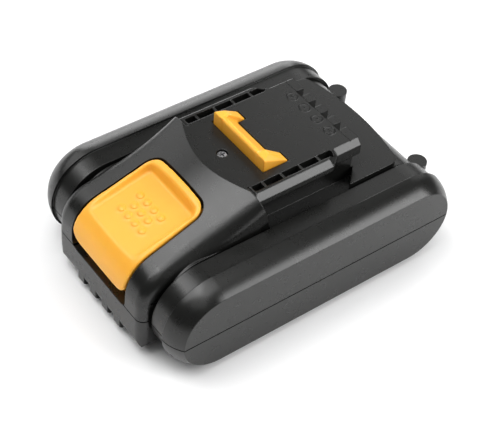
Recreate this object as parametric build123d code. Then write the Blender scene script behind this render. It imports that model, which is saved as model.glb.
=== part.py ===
from build123d import *
from math import atan2, cos, degrees, hypot, pi, radians, sin, sqrt, tan
import os

# Slide-on power tool battery pack, millimetres, +Z up, origin at the middle of the base.
# -Y is the release button end, +Y is the terminal end, X runs across the pack.

# Cell pods, the two rounded sides of the body
body_width = 82.0
pod_radius = 17.75
pod_centre_span = 79.5
cap_inner_half_width = 33.3
crown_drop = 3.3
crown_arc_radius = 13.6
strip_step = 0.85
strip_inner_half_width = 26.3
centre_step = 0.6
centre_rear_setback = 1.0
centre_front_setback = 2.0
valley_inner = 25.4
valley_outer = 26.3
valley_depth = 1.7
valley_wall = 2.0
valley_bottom = 9.0
parting_height = 17.0
shell_wall = 2.2
cut_overrun = 4.0
slip_gap = 0.3
touch_gap = 0.05

# Flat panels on the centre body
deck_height = 35.9
deck_half_width = 25.4
deck_end = 45.5
deck_end_arc_radius = 88.0
deck_corner_radius = 3.5
deck_front = -19.0
base_panel_half_width = 23.0
base_panel_front = -50.0
base_panel_rear = 40.0
base_panel_corner_radius = 3.0

# Wedge and front block that carry the button
block_front = -59.8
block_half_width = 25.0
block_edge_radius = 3.5
block_crown_radius = 2500.0
block_corner_radius = 5.5
block_nose_radius = 14.0
block_skin_depth = 12.0
block_foot_radius = 5.0
block_bottom = 2.4
wedge_slope = 20.5
wedge_crease = -20.7
wedge_rear = -9.0
wedge_crown_radius = 171.0
wedge_middle_half_width = 25.2
wedge_middle_edge_radius = 5.5
wedge_rear_half_width = 25.4
wedge_rear_edge_radius = 2.6
wedge_core_inset = 9.0
wedge_core_half_width = 24.8
wedge_core_bottom = 10.0
shoulder_top_rear = -15.4
shoulder_slope = 18.0
wedge_cavity_half_width = 20.4
wedge_cavity_rear = -18.5
wedge_cavity_inset = 3.6
grip_rib_count = 4
grip_rib_pitch = 7.3
grip_rib_width = 3.5
grip_rib_edge = 1.0

# Plateau with its two rails
plateau_height = 46.6
plateau_wall = 2.2
rail_half_width = 22.7
rail_chamfer = 2.0
rail_underside = 42.6
rail_rear = 15.4
rail_neck_rear = 19.2
rail_curve_radius = 2.4
neck_half_width = 19.4
plateau_end = 29.3
end_underside = 40.8
pedestal_half_width = 19.0
pedestal_end = 26.5
channel_floor = 31.5
channel_wall = 1.6
channel_rear = 21.0
channel_corner_rear = 22.3
channel_corner_inset = 1.2
channel_tip_rear = 27.0
channel_tip_width = 0.5
pocket_inner = 17.2
pocket_outer = 19.8
pocket_front = -14.2
pocket_rear = 17.6
pocket_depth = 3.2
pocket_corner_radius = 0.9
pocket_rib_front = -9.7
pocket_rib_pitch = 7.24
pocket_rib_width = 0.9
pocket_rib_drop = 0.35
pocket_rib_count = 4
slot_centres = (-10.0, -3.28, 3.28, 10.0)
slot_width = 3.06
slot_front = 26.0
slot_bottom = 35.0
score_width = 0.35
score_depth = 0.25
mark_centre_y = 23.2
mark_radius = 2.1
mark_line_width = 0.4
mark_depth = 0.25
mark_bar_length = 1.9

# End lugs and housing screws
lug_x = 22.0
lug_y = 55.63
lug_radius = 3.46
lug_top = 26.0
lug_bottom = 8.0
front_boss_x = 19.9
front_boss_y = -53.4
front_boss_radius = 3.4
front_boss_top = 25.5
screw_radius = 1.4
screw_head_radius = 2.6
screw_head_height = 2.2
screw_seat_height = 11.0
screw_tip = 24.0
screw_socket_radius = 1.3
screw_socket_depth = 1.3

# Screw in the plateau
top_screw_y = -12.9
top_screw_head_radius = 1.8
top_screw_head_height = 1.4
top_screw_radius = 1.1
top_screw_sink = 0.5
top_screw_tip = 33.0
top_boss_radius = 3.4
top_boss_bottom = 40.0
cross_slot_width = 0.5
cross_slot_depth = 0.7

# Release latch, one yellow moulding: button, arms and hook bar
button_proud = 0.4
button_back = -28.6
button_back_half_width = 14.4
button_front_half_width = 15.5
button_corner_radius = 4.6
button_bottom = 21.3
button_gap = 0.6
button_skin = 2.0
button_wall_depth = 8.0
button_shelf = 2.0
skirt_thickness = 1.4
skirt_bottom = 12.4
skirt_gap = 0.35
notch_height = 16.2
notch_corner_radius = 3.2
dish_floor_height = 35.9
dish_floor_y = -43.55
dish_slope = 14.3
dish_back = -31.8
dish_back_half_width = 12.4
dish_front_half_width = 12.9
dish_corner_radius = 1.6
dish_wall_slope = 24.0
dish_reach = 16.0
bump_pitch_x = 3.93
bump_pitch_y = 3.53
bump_first_row_y = -40.0
bump_rows = (4, 3, 4)
bump_radius = 1.35
bump_height = 0.6
hook_half_length = 13.8
hook_block_width = 4.3
hook_front = -6.75
hook_flat_rear = -3.5
hook_tip_rear = 3.0
hook_top = 51.35
hook_facet_inset = 1.7
hook_facet_drop = 0.5
bar_crest_rear = -5.0
bar_tip_rear = -0.15
bar_front_setback = 0.25
bar_drop = 0.35
bar_chamfer = 0.5
hook_bottom = 35.2
arm_top = 38.6
arm_inner = 10.0
arm_outer = 13.2
arm_front = -33.0
latch_gap = 0.4

# Return springs under the button
spring_x = 9.0
spring_y = -38.5
spring_coil_radius = 3.0
spring_wire_radius = 0.35
spring_turns = 5
spring_post_radius = 2.2
spring_post_height = 2.0
spring_cup_radius = 4.0
spring_cup_depth = 0.6

# Cells, side by side along Y, each lying along X
cell_count = 5
cell_pitch = 19.2
cell_radius = 9.1
cell_length = 65.0
cell_height = 13.6
cell_button_radius = 4.0
cell_button_height = 0.8
cell_crimp_radius = 8.1
cell_crimp_height = 0.5
sleeve_thickness = 0.12
sleeve_lip = 1.2

# Cell holders at both ends of the cells
holder_inner = 24.0
holder_outer = 32.0
holder_rim = 9.6
holder_bottom = 4.0
holder_top = 23.3
holder_bore_gap = 0.1

# Nickel strips and side pads
strip_thickness = 0.2
strip_width = 8.0
strip_tab_width = 4.0
pad_gap = 0.2
insulator_thickness = 0.4
insulator_radius = 9.3
pad_radius = 8.0

# Circuit board, its tray and what sits on it
tray_half_width = 30.5
tray_front = -43.5
tray_rear = 24.0
tray_thickness = 1.8
tray_post_radius = 2.0
tray_post_x = 18.0
tray_post_front = -27.0
tray_post_rear = 20.0
tray_column_radius = 3.0
board_height = 27.2
board_thickness = 1.6
board_half_width = 22.0
board_front = -30.0
board_rear = 23.0
terminal_half_width = 14.6
terminal_front = 4.6
terminal_rear = 24.0
terminal_top = 44.0
terminal_slot_width = 2.6
terminal_slot_front = 7.0
contact_leaf_thickness = 0.5
contact_leaf_gap = 0.7
contact_front = 8.0
contact_rear = 22.5
contact_top = 42.5
contact_web_front = 10.5
mosfet_count = 3
mosfet_pitch = 8.0
mosfet_size = (5.6, 5.0, 1.0)
mosfet_y = -1.5
chip_size = (7.0, 7.0, 1.0)
chip_place = (-6.5, -19.5)
shunt_size = (8.0, 3.4, 0.9)
shunt_place = (13.5, -10.5)
capacitor_count = 3
capacitor_size = (1.4, 2.4, 1.3)
capacitor_pitch = 2.6
capacitor_place = (5.0, -23.5)
fuse_size = (5.5, 3.4, 1.8)
fuse_place = (-5.5, -26.5)
connector_size = (6.0, 4.0, 1.1)
connector_place = (14.0, -26.0)
thermistor_radius = 1.2
thermistor_length = 4.0
thermistor_lead_radius = 0.3
thermistor_x = 3.0

# Places worked out from the sizes above
pod_axis_height = pod_radius
pod_front_centre = -pod_centre_span / 2
pod_rear_centre = pod_centre_span / 2
body_half_width = body_width / 2
flat_radius = pod_radius - crown_drop
strip_radius = pod_radius - strip_step
centre_radius = strip_radius - centre_step
centre_front = pod_front_centre + centre_front_setback
centre_rear = pod_rear_centre - centre_rear_setback
slope = radians(wedge_slope)
dish_tilt = radians(dish_slope)
board_top = board_height + board_thickness
cell_rear_y = cell_pitch * (cell_count - 1) / 2
cell_half_length = cell_length / 2
sleeve_radius = cell_radius + sleeve_thickness
bore_radius = sleeve_radius + holder_bore_gap
tray_bottom = holder_top + touch_gap
tray_top = tray_bottom + tray_thickness


def block(x0, x1, y0, y1, z0, z1):
    centre = Pos((x0 + x1) / 2, (y0 + y1) / 2, (z0 + z1) / 2)
    return centre * Box(abs(x1 - x0), abs(y1 - y0), abs(z1 - z0))


def x_cylinder(radius, x0, x1, y, z):
    return Pos((x0 + x1) / 2, y, z) * Rot(0, 90, 0) * Cylinder(radius, x1 - x0)


def z_cylinder(radius, x, y, z0, z1):
    return Pos(x, y, (z0 + z1) / 2) * Cylinder(radius, z1 - z0)


def x_capsule(radius, x0, x1, y0, y1, z):
    ends = x_cylinder(radius, x0, x1, y0, z) + x_cylinder(radius, x0, x1, y1, z)
    return ends + block(x0, x1, y0, y1, z - radius, z + radius)


def across(points, x0, x1):
    """A solid with the outline points (y, z), running from x0 to x1."""
    face = make_face(Polyline(*[(x0, y, z) for y, z in points], close=True))
    return extrude(face, amount=x1 - x0, dir=(1, 0, 0))


def upright(outline, z0, z1):
    """A solid with the plan outline, running from z0 to z1."""
    return extrude(Pos(0, 0, z0) * outline, amount=z1 - z0, dir=(0, 0, 1))


def both_sides(solid):
    return solid + mirror(solid, about=Plane.YZ)


def mirrored(solid):
    return mirror(solid, about=Plane.YZ)


# Body outlines
def pod_cap(radius, drop, x0, x1):
    """Outer cap of a pod: a crowned section turned at both ends and run straight between them."""
    chord = hypot(x1 - x0, drop)
    sagitta = crown_arc_radius - sqrt(crown_arc_radius ** 2 - chord ** 2 / 4)
    middle_x = (x0 + x1) / 2 + sagitta * drop / chord
    middle_r = radius - drop / 2 + sagitta * (x1 - x0) / chord
    crown = ThreePointArc((x0, radius), (middle_x, middle_r), (x1, radius - drop))
    sides = Polyline((x1, radius - drop), (x1, 0), (x0, 0), (x0, radius))
    half_section = Plane.XZ * make_face(crown + sides)
    puck = revolve(half_section, axis=Axis.X)
    section = half_section + mirror(half_section, about=Plane.XY)
    straight = extrude(section, amount=pod_centre_span, dir=(0, 1, 0))
    front = Pos(0, pod_front_centre, pod_axis_height)
    rear = Pos(0, pod_rear_centre, pod_axis_height)
    return front * puck + front * straight + rear * puck


def wedge_profile(inset, bottom):
    """Side outline of the wedge on the middle plane, set in from the outside by inset."""
    front = block_front + inset
    nose = block_nose_radius - inset
    drop = inset / cos(slope)
    rear_z = plateau_height + (wedge_rear - wedge_crease) * tan(slope) - drop
    meet_z = plateau_height + (front - wedge_crease) * tan(slope) - drop
    run = nose * tan((pi / 2 - slope) / 2)
    arc_start = (0, front + run * cos(slope), meet_z + run * sin(slope))
    arc_end = (0, front, meet_z - run)
    centre = (front + nose, meet_z - run)
    half_turn = (pi / 2 - slope) / 2
    middle = (0, centre[0] - nose * cos(half_turn), centre[1] + nose * sin(half_turn))
    top = Line((0, wedge_rear, rear_z), arc_start)
    arc = ThreePointArc(arc_start, middle, arc_end)
    return top, arc, Line(arc_end, (0, front, bottom))


def crowned_section(place, direction, half_width, edge_radius, crown_radius, depth):
    """A cross-section of the wedge with its crown and its two rounded corners."""
    fall = crown_radius - sqrt(crown_radius ** 2 - half_width ** 2)
    crown = ThreePointArc((-half_width, -fall), (0, 0), (half_width, -fall))
    sides = Polyline((half_width, -fall), (half_width, -depth), (-half_width, -depth), (-half_width, -fall))
    face = make_face(crown + sides)
    if edge_radius > 0:
        corners = face.vertices().sort_by(Axis.Y)[-2:]
        face = fillet(corners, edge_radius)
    return Plane(origin=place, x_dir=(1, 0, 0), z_dir=direction) * face


def wedge_skin():
    """The wedge's outside: crowned on the slope, with corners that change along it, and flat in front."""
    top, arc, front = wedge_profile(0, block_bottom)
    stations = [
        (top @ 0, top % 0, wedge_rear_half_width, wedge_rear_edge_radius, wedge_crown_radius),
        (top @ 1, top % 1, wedge_middle_half_width, wedge_middle_edge_radius, wedge_crown_radius),
        (arc @ 1, arc % 1, block_half_width, block_edge_radius, block_crown_radius),
        (front @ 1, front % 1, block_half_width, block_edge_radius, block_crown_radius),
    ]
    sections = [crowned_section(*station, block_skin_depth) for station in stations]
    return sweep(sections, path=Wire([top, arc, front]), multisection=True)


def button_skin_sweep():
    """The button's outside, which follows the wedge and stands a little proud of it."""
    top, arc, front = wedge_profile(-button_proud, notch_height)
    half_width = button_front_half_width + cut_overrun
    depth = block_skin_depth + button_proud
    sections = [
        crowned_section(top @ 0, top % 0, half_width, 0, wedge_crown_radius, depth),
        crowned_section(top @ 1, top % 1, half_width, 0, wedge_crown_radius, depth),
        crowned_section(arc @ 1, arc % 1, half_width, 0, block_crown_radius, depth),
        crowned_section(front @ 1, front % 1, half_width, 0, block_crown_radius, depth),
    ]
    return sweep(sections, path=Wire([top, arc, front]), multisection=True)


def wedge_core(inset, half_width, bottom):
    """Plain filling under the wedge's skin, set in from it."""
    top, arc, front = wedge_profile(inset, bottom)
    start = top @ 0
    base = Polyline(front @ 1, (0, wedge_rear, bottom), start)
    face = make_face(Wire([top, arc, front] + list(base.edges())))
    return Pos(-half_width, 0, 0) * extrude(face, amount=half_width * 2, dir=(1, 0, 0))


def shoulder_cut():
    """What is cleared behind the wedge's sloping rear wall, beside the plateau."""
    low = 0
    rear = shoulder_top_rear + (plateau_height - low) * tan(radians(shoulder_slope))
    far = rear + cut_overrun
    top = plateau_height + cut_overrun
    outline = [(shoulder_top_rear, top), (shoulder_top_rear, plateau_height), (rear, low), (far, low), (far, top)]
    return both_sides(across(outline, pedestal_half_width - plateau_wall, body_half_width))


def deck_outline(inset):
    half_width = deck_half_width - inset
    corner_y = deck_end - inset - deck_end_arc_radius + sqrt(deck_end_arc_radius ** 2 - half_width ** 2)
    end = ThreePointArc((half_width, corner_y), (0, deck_end - inset), (-half_width, corner_y))
    sides = Polyline((-half_width, corner_y), (-half_width, deck_front), (half_width, deck_front), (half_width, corner_y))
    face = make_face(end + sides)
    corners = face.vertices().sort_by(Axis.Y)[-2:]
    return fillet(corners, deck_corner_radius)


def valley(depth, inner, outer):
    """A ring along each side of the centre body, down to the lower part of both ends."""
    reach = pod_rear_centre + pod_radius
    ring = x_capsule(strip_radius + cut_overrun, inner, outer, centre_front, centre_rear, pod_axis_height)
    ring -= x_capsule(centre_radius - depth, inner, outer, centre_front, centre_rear, pod_axis_height)
    return both_sides(ring & block(inner, outer, -reach, reach, valley_bottom, plateau_height))


def deck():
    bevel = deck_height - pod_axis_height - strip_radius
    upper = upright(deck_outline(0), deck_height - bevel, deck_height)
    return upper + upright(deck_outline(0), pod_axis_height + centre_radius / 2, deck_height - bevel)


def base_panel():
    length = base_panel_rear - base_panel_front
    outline = RectangleRounded(base_panel_half_width * 2, length, base_panel_corner_radius)
    return upright(Pos(0, (base_panel_front + base_panel_rear) / 2) * outline, 0, shell_wall)


def plateau_outline(extra_end):
    """Plan of the rail plate: wide rails, a curved step in, and the narrower terminal end."""
    end = plateau_end + extra_end
    start = shoulder_top_rear - rail_chamfer / 2
    points = [
        (rail_half_width, start), (rail_half_width, rail_rear),
        (neck_half_width, rail_neck_rear), (neck_half_width, end),
        (-neck_half_width, end), (-neck_half_width, rail_neck_rear),
        (-rail_half_width, rail_rear), (-rail_half_width, start),
    ]
    face = make_face(Polyline(*points, close=True))
    bends = [v for v in face.vertices() if rail_rear - touch_gap < v.Y < rail_neck_rear + touch_gap]
    return fillet(bends, rail_curve_radius)


def plateau():
    lip_top = plateau_height - rail_chamfer
    outline = plateau_outline(rail_chamfer * 2)
    plate = upright(outline, rail_underside, lip_top)
    plate += extrude(Pos(0, 0, lip_top) * outline, amount=rail_chamfer, taper=45)
    plate += block(-neck_half_width, neck_half_width, rail_neck_rear, plateau_end, end_underside, lip_top)
    plate -= block(-body_half_width, body_half_width, plateau_end, plateau_end + body_half_width,
                   rail_underside - cut_overrun, plateau_height + cut_overrun)
    pedestal = block(-pedestal_half_width, pedestal_half_width, shoulder_top_rear - rail_chamfer, pedestal_end,
                     pod_axis_height, lip_top)
    return plate + pedestal


def channel_outline(side_gap):
    outer = deck_half_width + side_gap
    inner = pedestal_half_width - side_gap
    start = shoulder_top_rear - side_gap
    points = [
        (inner, start), (outer, start),
        (outer, channel_rear + side_gap), (outer - channel_corner_inset, channel_corner_rear + side_gap),
        (pedestal_half_width + channel_tip_width, channel_tip_rear + side_gap), (inner, channel_tip_rear + side_gap),
    ]
    return make_face(Polyline(*points, close=True))


def channels():
    """Open channels beside the pedestal, which the tool's side walls run in."""
    return both_sides(upright(channel_outline(0), channel_floor, rail_underside))


def block_foot():
    """What the rounded foot of the front block leaves out, with its ribs kept."""
    foot = block_foot_radius
    low = block_bottom
    rear = block_front + foot
    high = low + foot
    rounding = [(block_front - cut_overrun, -cut_overrun), (block_front - cut_overrun, high), (rear, high)]
    cut = across(rounding + [(rear, -cut_overrun)], -body_half_width, body_half_width)
    cut -= x_cylinder(foot, -body_half_width, body_half_width, rear, high)
    for index in range(grip_rib_count):
        x = (index - (grip_rib_count - 1) / 2) * grip_rib_pitch
        corner = [
            (block_front, high), (block_front, low + grip_rib_edge), (block_front + grip_rib_edge, low),
            (rear, low), (rear, high),
        ]
        cut -= across(corner, x - grip_rib_width / 2, x + grip_rib_width / 2)
    return cut


def outer_shape():
    shape = x_capsule(strip_radius, strip_inner_half_width, cap_inner_half_width,
                      pod_front_centre, pod_rear_centre, pod_axis_height)
    shape += pod_cap(pod_radius, crown_drop, cap_inner_half_width, body_half_width)
    shape = both_sides(shape)
    shape += x_capsule(centre_radius, -strip_inner_half_width, strip_inner_half_width,
                       centre_front, centre_rear, pod_axis_height)
    shape += deck()
    shape += base_panel()
    shape -= valley(valley_depth, valley_inner, valley_outer)
    shape -= channels()
    wedge = wedge_skin() + wedge_core(wedge_core_inset, wedge_core_half_width, wedge_core_bottom)
    wedge -= block(-body_half_width, body_half_width, block_front, wedge_rear + cut_overrun * 2,
                   plateau_height, plateau_height + cut_overrun * 4)
    wedge -= shoulder_cut()
    wedge = wedge & front_view(block_half_width + slip_gap, block_bottom, block_corner_radius)
    wedge -= block_foot()
    shape += wedge
    return shape + plateau()


def cavity():
    strip_inside = strip_radius - shell_wall
    centre_inside = centre_radius - shell_wall
    inner_wall = strip_inner_half_width + shell_wall
    space = x_capsule(strip_inside, inner_wall, cap_inner_half_width + shell_wall,
                      pod_front_centre, pod_rear_centre, pod_axis_height)
    space += pod_cap(pod_radius - shell_wall, crown_drop, cap_inner_half_width, body_half_width - shell_wall)
    space = both_sides(space)
    space += x_capsule(centre_inside, -inner_wall, inner_wall, centre_front, centre_rear, pod_axis_height)
    inside = pedestal_half_width - plateau_wall
    under_wedge = wedge_core(wedge_cavity_inset, wedge_cavity_half_width, shell_wall + block_bottom)
    under_wedge -= both_sides(block(inside, body_half_width, wedge_cavity_rear, 0, 0, plateau_height + cut_overrun))
    under_wedge -= block(-body_half_width, body_half_width, wedge_crease, wedge_rear + cut_overrun,
                         plateau_height - plateau_wall, plateau_height + cut_overrun * 4)
    space += under_wedge
    space += block(-inside, inside, shoulder_top_rear, pedestal_end - plateau_wall,
                   pod_axis_height, plateau_height - plateau_wall)
    keep = upright(channel_outline(channel_wall), channel_floor - channel_wall, plateau_height)
    core = block(-inside, inside, shoulder_top_rear - cut_overrun, pedestal_end - plateau_wall,
                 pod_axis_height, plateau_height)
    space -= both_sides(keep - core)
    wall = valley(valley_depth + valley_wall, valley_inner - shell_wall, valley_outer + shell_wall)
    return space - wall


def pockets():
    """Blind pockets along the top of both rails, parted by low ribs."""
    width = pocket_outer - pocket_inner
    length = pocket_rear - pocket_front
    middle = Pos((pocket_inner + pocket_outer) / 2, (pocket_front + pocket_rear) / 2)
    outline = middle * RectangleRounded(width, length, pocket_corner_radius)
    cut = upright(outline, plateau_height - pocket_depth, plateau_height + cut_overrun)
    for rib in range(pocket_rib_count):
        y = pocket_rib_front + rib * pocket_rib_pitch
        cut -= block(pocket_inner, pocket_outer, y - pocket_rib_width / 2, y + pocket_rib_width / 2,
                     plateau_height - pocket_depth, plateau_height - pocket_rib_drop)
    return both_sides(cut)


def terminal_slots():
    cut = None
    for x in slot_centres:
        top = block(x - slot_width / 2, x + slot_width / 2, slot_front, plateau_end + cut_overrun,
                    slot_bottom, plateau_height + cut_overrun)
        mouth = block(x - slot_width / 2, x + slot_width / 2, pedestal_end - plateau_wall - cut_overrun / 2,
                      slot_front, slot_bottom, plateau_height - plateau_wall)
        cut = top + mouth if cut is None else cut + top + mouth
    return cut


def terminal_marks():
    """Engraved rings beside the terminal slots, plus on the left and minus on the right."""
    low = plateau_height - mark_depth
    high = plateau_height + cut_overrun
    cut = None
    for index, x in enumerate(slot_centres):
        ring = z_cylinder(mark_radius, x, mark_centre_y, low, high)
        ring -= z_cylinder(mark_radius - mark_line_width, x, mark_centre_y, low, high)
        last = len(slot_centres) - 1
        half_bar = mark_bar_length / 2
        half_line = mark_line_width / 2
        if index in (0, last):
            ring += block(x - half_bar, x + half_bar, mark_centre_y - half_line, mark_centre_y + half_line, low, high)
        if index == 0:
            ring += block(x - half_line, x + half_line, mark_centre_y - half_bar, mark_centre_y + half_bar, low, high)
        if index not in (0, last):
            ring += z_cylinder(mark_line_width, x, mark_centre_y, low, high)
        cut = ring if cut is None else cut + ring
    return cut


def score_line():
    half = score_width / 2
    return block(-neck_half_width, neck_half_width, slot_front - half, slot_front + half,
                 plateau_height - score_depth, plateau_height + cut_overrun)


# Release latch outlines
def button_plan(gap):
    """Plan of the button, wider at the front, which runs on past the nose."""
    back = button_back + gap
    front = block_front - cut_overrun
    points = [
        (button_front_half_width + gap, front), (button_back_half_width + gap, back),
        (-button_back_half_width - gap, back), (-button_front_half_width - gap, front),
    ]
    face = make_face(Polyline(*points, close=True))
    corners = face.vertices().sort_by(Axis.Y)[-2:]
    return fillet(corners, button_corner_radius + gap)


def front_view(half, low, radius):
    """All that lies inside a front outline with two rounded lower corners, at the nose, and all behind it."""
    high = plateau_height + cut_overrun
    outline = RectangleRounded(half * 2, (high - low) * 2, radius)
    face = Plane.XZ * Pos(0, high) * outline
    depth = block_skin_depth + cut_overrun
    front = extrude(Pos(0, block_front - cut_overrun, 0) * face, amount=depth, dir=(0, 1, 0))
    back_y = block_front - cut_overrun + depth
    back = block(-body_half_width, body_half_width, back_y, 0, 0, high)
    return front + back


def button_opening():
    """Hole in both housings, open down to the notch so that the button can travel."""
    top = upright(button_plan(button_gap), notch_height, plateau_height + cut_overrun)
    return top & front_view(button_front_half_width + button_gap, notch_height, notch_corner_radius)


def latch_opening():
    half = hook_half_length + latch_gap
    top = plateau_height + cut_overrun
    low = plateau_height - plateau_wall - cut_overrun / 2
    cut = block(-half, half, hook_front - latch_gap, bar_tip_rear + latch_gap, low, top)
    inner = hook_half_length - hook_block_width - latch_gap
    cut += both_sides(block(inner, half, hook_front - latch_gap, hook_tip_rear + latch_gap, low, top))
    return cut


def dish_floor(y):
    return dish_floor_height + (y - dish_floor_y) * tan(dish_tilt)


def under_dish(y):
    return dish_floor(y) - button_skin / cos(dish_tilt)


def dish():
    """The thumb dish: a sloping floor with flared walls, open over the nose."""
    plane = Plane(origin=(0, dish_floor_y, dish_floor_height), x_dir=(1, 0, 0), z_dir=(0, -sin(dish_tilt), cos(dish_tilt)))
    back = (dish_back - dish_floor_y) / cos(dish_tilt)
    front = back - (dish_back - block_front + dish_reach) / cos(dish_tilt)
    points = [
        (dish_front_half_width, front), (dish_back_half_width, back),
        (-dish_back_half_width, back), (-dish_front_half_width, front),
    ]
    face = make_face(Polyline(*points, close=True))
    face = fillet(face.vertices().sort_by(Axis.Y)[-2:], dish_corner_radius)
    return extrude(plane * face, amount=dish_reach, taper=-dish_wall_slope)


def bumps():
    ball = (bump_radius ** 2 + bump_height ** 2) / (2 * bump_height)
    domes = None
    for row, count in enumerate(bump_rows):
        y = bump_first_row_y - row * bump_pitch_y
        floor = dish_floor(y)
        for index in range(count):
            x = (index - (count - 1) / 2) * bump_pitch_x
            dome = Pos(x, y, floor + bump_height - ball) * Sphere(ball)
            dome -= Pos(x, y, floor - ball * 2) * Box(ball * 4, ball * 4, ball * 2)
            domes = dome if domes is None else domes + dome
    return domes


def button():
    body = button_skin_sweep() + wedge_core(wedge_core_inset, button_front_half_width + cut_overrun, notch_height)
    body = body & upright(button_plan(0), 0, plateau_height + cut_overrun)
    body = body & front_view(button_front_half_width, button_bottom, button_corner_radius)
    wall_rear = block_front + button_wall_depth
    far = button_back + cut_overrun
    behind = [(wall_rear, 0), (wall_rear, under_dish(wall_rear)), (far, under_dish(far)), (far, 0)]
    body -= across(behind, -body_half_width, body_half_width)
    half = button_back_half_width - button_skin
    shelf_top = button_bottom + button_shelf
    front = block_front + button_skin
    roof = [(front, shelf_top), (front, under_dish(front)), (far, under_dish(far)), (far, shelf_top)]
    body -= across(roof, -half, half) & wedge_core(button_skin, half, 0)
    body -= dish()
    body += bumps()
    skirt_front = block_front + wedge_cavity_inset + skirt_gap
    skirt_rear = skirt_front + skirt_thickness
    skirt_half = button_front_half_width - button_corner_radius / 2
    body -= block(-body_half_width, body_half_width, skirt_rear, wall_rear, 0, shelf_top)
    body += block(-skirt_half, skirt_half, skirt_front, skirt_rear, skirt_bottom, shelf_top)
    return body


def hook():
    """One hook of the bar, with a ramp behind its top and a facet on its outer side."""
    outline = [
        (hook_front, hook_bottom), (hook_front, hook_top), (hook_flat_rear, hook_top),
        (hook_tip_rear, plateau_height), (hook_tip_rear, arm_top), (bar_tip_rear, hook_bottom),
    ]
    body = across(outline, hook_half_length - hook_block_width, hook_half_length)
    front = Vector(hook_half_length, hook_front, hook_top - hook_facet_drop)
    rear = Vector(hook_half_length - hook_facet_inset, hook_flat_rear, hook_top)
    tip = Vector(hook_half_length, hook_tip_rear, plateau_height)
    facet = Plane(origin=front, x_dir=tip - front, z_dir=(tip - front).cross(rear - front))
    return split(body, bisect_by=facet, keep=Keep.BOTTOM)


def release_latch():
    """Button, two arms and the hook bar in one moulding, at its raised stop."""
    body = button()
    inner = hook_half_length - hook_block_width
    bar_front = hook_front + bar_front_setback
    bar_top = hook_top - bar_drop
    bar_low = plateau_height - plateau_wall * 2
    bar = [
        (bar_front, bar_low), (bar_front, bar_top - bar_chamfer), (bar_front + bar_chamfer, bar_top),
        (bar_crest_rear, bar_top), (bar_tip_rear, plateau_height), (bar_tip_rear, bar_low),
    ]
    arms = block(arm_inner, arm_outer, arm_front, bar_tip_rear, hook_bottom, arm_top)
    low = under_dish(spring_y) - spring_cup_depth
    cup = z_cylinder(spring_post_radius, spring_x, spring_y, low - spring_post_height, low)
    cup += z_cylinder(spring_cup_radius, spring_x, spring_y, low, dish_floor(spring_y) - button_skin / 2)
    return body + both_sides(hook() + arms + cup) + across(bar, -inner, inner)


# Return springs
def spring_height():
    return under_dish(spring_y) - spring_cup_depth - tray_top - 2 * (spring_wire_radius + touch_gap)


def helix_point(turn, height):
    angle = turn * 2 * pi
    return Vector(spring_coil_radius * cos(angle), spring_coil_radius * sin(angle), height * turn / spring_turns)


def helix_tangent(turn, height):
    angle = turn * 2 * pi
    rise = height / spring_turns / (2 * pi)
    return Vector(-spring_coil_radius * sin(angle), spring_coil_radius * cos(angle), rise).normalized()


def biarc(p0, t0, p1, t1):
    """Two arcs that leave p0 along t0 and reach p1 along t1."""
    v = p1 - p0
    a = 2 * (t0.dot(t1) - 1)
    b = -2 * v.dot(t0 + t1)
    c = v.dot(v)
    d = (-b - sqrt(b * b - 4 * a * c)) / (2 * a)
    if d < 0:
        d = (-b + sqrt(b * b - 4 * a * c)) / (2 * a)
    joint = (p0 + p1 + (t0 - t1) * d) * 0.5
    first = TangentArc(p0, joint, tangent=t0)
    return [first, TangentArc(joint, p1, tangent=first % 1)]


def spring_path(height, steps_per_turn=4):
    edges = []
    steps = spring_turns * steps_per_turn
    for step in range(steps):
        here = step / steps_per_turn
        there = (step + 1) / steps_per_turn
        edges += biarc(helix_point(here, height), helix_tangent(here, height),
                       helix_point(there, height), helix_tangent(there, height))
    return Wire(edges)


def release_spring(side):
    path = spring_path(spring_height())
    plane = Plane(origin=path @ 0, z_dir=path % 0)
    coil = sweep(plane * Circle(spring_wire_radius), path=path)
    return Pos(side * spring_x, spring_y, tray_top + spring_wire_radius + touch_gap) * coil


def print_spring_gap(samples_per_turn=24):
    """Measures the coil's least gap to itself on points along its path."""
    path = spring_path(spring_height())
    count = spring_turns * samples_per_turn
    points = [path @ (index / count) for index in range(count + 1)]
    half_turn = samples_per_turn // 2
    least = min((points[j] - points[i]).length for i in range(count + 1) for j in range(i + half_turn, count + 1))
    print("least gap between the spring's turns", round(least - 2 * spring_wire_radius, 2))


# Housings
def housing_bosses(low, high):
    return both_sides(z_cylinder(front_boss_radius, front_boss_x, front_boss_y, low, high))


def lugs(low, high):
    return both_sides(z_cylinder(lug_radius, lug_x, lug_y, low, high))


def screw_holes():
    shank = screw_radius + touch_gap
    head = screw_head_radius + touch_gap * 2
    holes = None
    for x, y in ((lug_x, lug_y), (front_boss_x, front_boss_y)):
        hole = z_cylinder(shank, x, y, 0, screw_tip + touch_gap)
        hole += z_cylinder(head, x, y, -cut_overrun, screw_seat_height)
        holes = hole if holes is None else holes + hole
    return both_sides(holes)


def lower_housing(outer, inner):
    reach = body_width
    below = block(-reach, reach, -reach, reach, -cut_overrun, parting_height)
    body = (outer & below) - inner
    body += (housing_bosses(shell_wall / 2, parting_height) & outer)
    body += lugs(lug_bottom, parting_height) - inner
    body -= button_opening()
    return body - screw_holes()


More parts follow.
